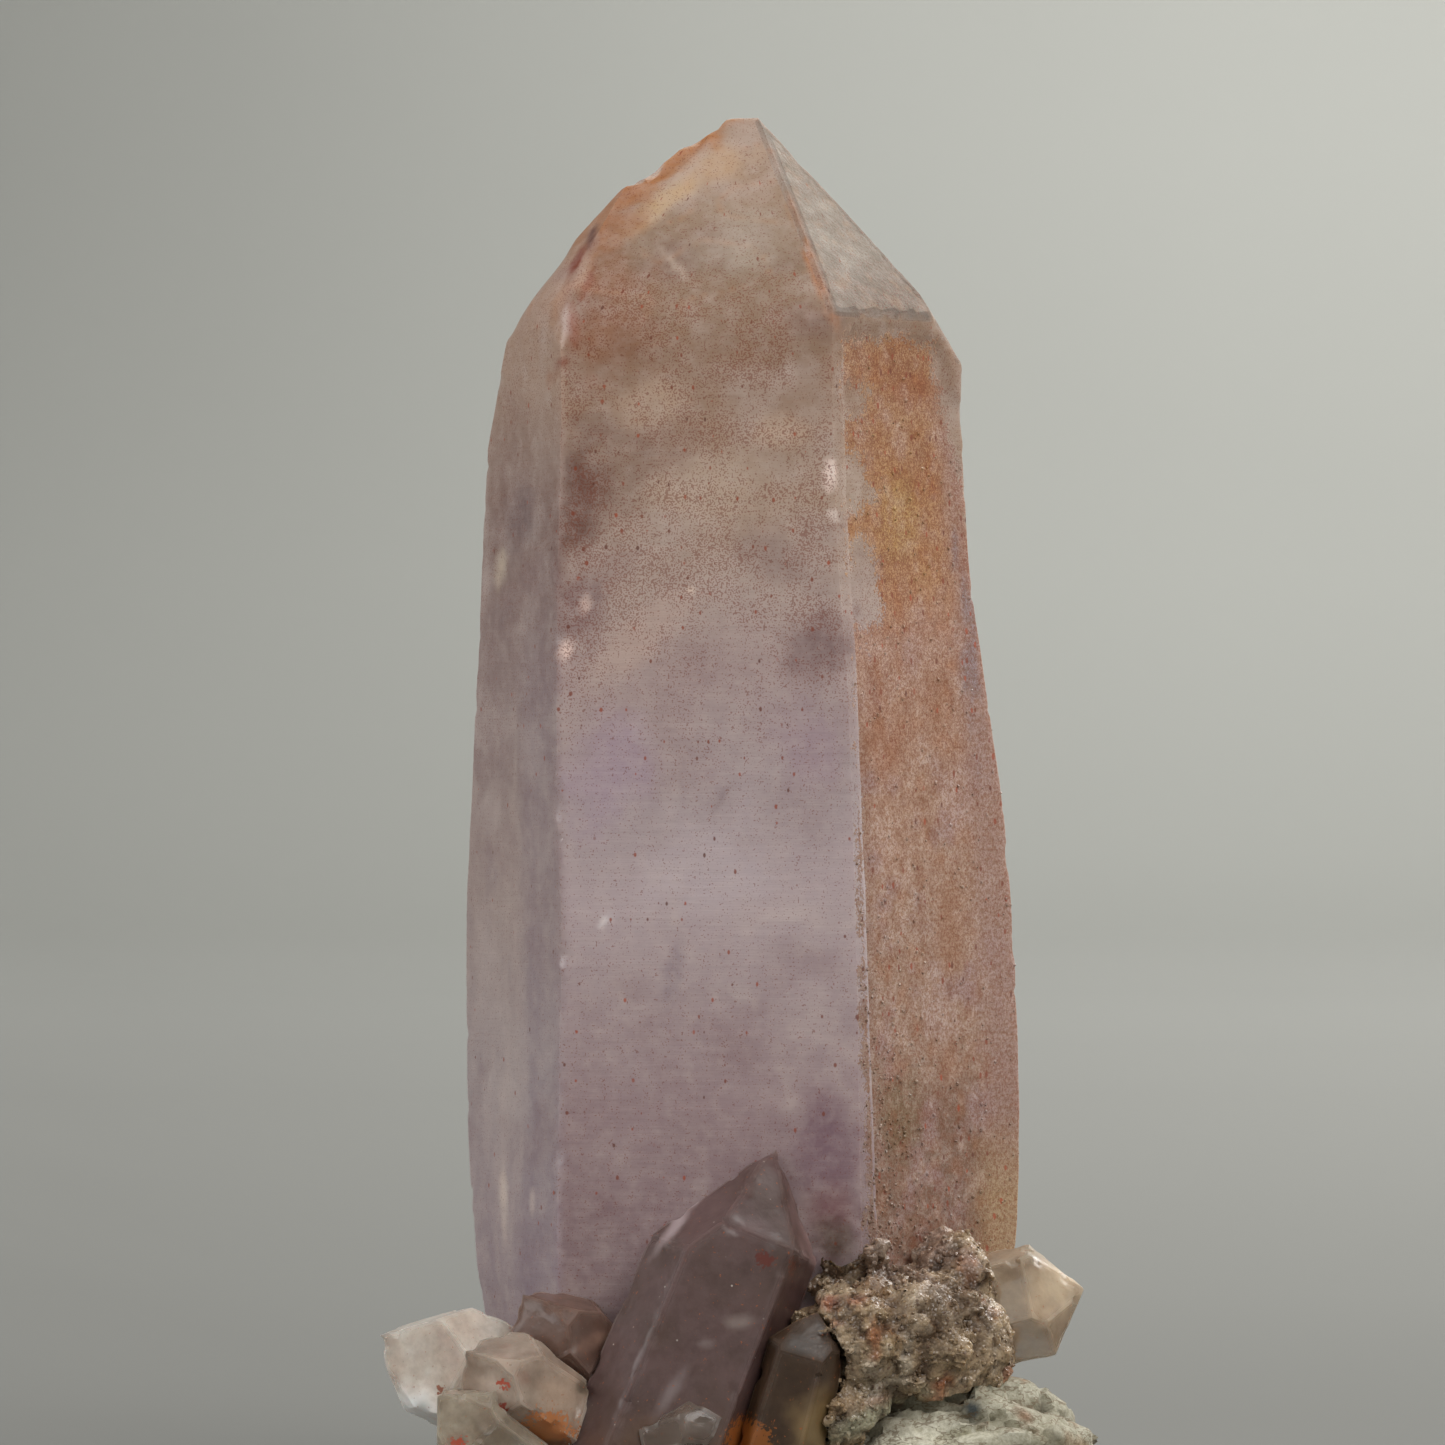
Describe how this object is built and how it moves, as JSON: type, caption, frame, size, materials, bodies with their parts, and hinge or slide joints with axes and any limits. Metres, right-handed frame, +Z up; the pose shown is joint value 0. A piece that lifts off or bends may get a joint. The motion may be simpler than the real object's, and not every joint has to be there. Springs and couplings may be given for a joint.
{
  "type": "skeletal amethyst point on matrix",
  "caption": "Tall six-sided hazy amethyst crystal with a chisel-like tip, smaller quartz points and rusty drusy crust round its foot, on a pale stone cut flat underneath.",
  "frame": {"origin": "centre of the object's bounding box at the stone's flat underside", "axes": "+Z up along the large crystal, -Y towards the pictured front, +X to the right of it"},
  "size_m": [0.046, 0.0376, 0.0886],
  "materials": {
    "amethyst": "hazy lilac quartz, beige and rust-stained near the tip, natural crystal faces",
    "smoky_quartz": "smoky mauve-brown quartz with frosted and rust-stained spots",
    "pale_quartz": "clear to cream quartz with rust in the cracks",
    "rusty_druse": "rough crust of tiny sparkling quartz crystals with rust and greenish grey patches",
    "pale_stone": "matt pale green-grey fibrous stone with pits and rust spots"
  },
  "bodies": {
    "root": {"amethyst_point": "amethyst", "leaning_point": "smoky_quartz", "mauve_stub": "smoky_quartz", "left_point": "pale_quartz", "stained_point": "pale_quartz", "corner_point": "pale_quartz", "clear_stub": "pale_quartz", "green_stub": "smoky_quartz", "right_point": "pale_quartz", "druse_crust": "rusty_druse", "matrix_stone": "pale_stone"}
  },
  "joints": []
}
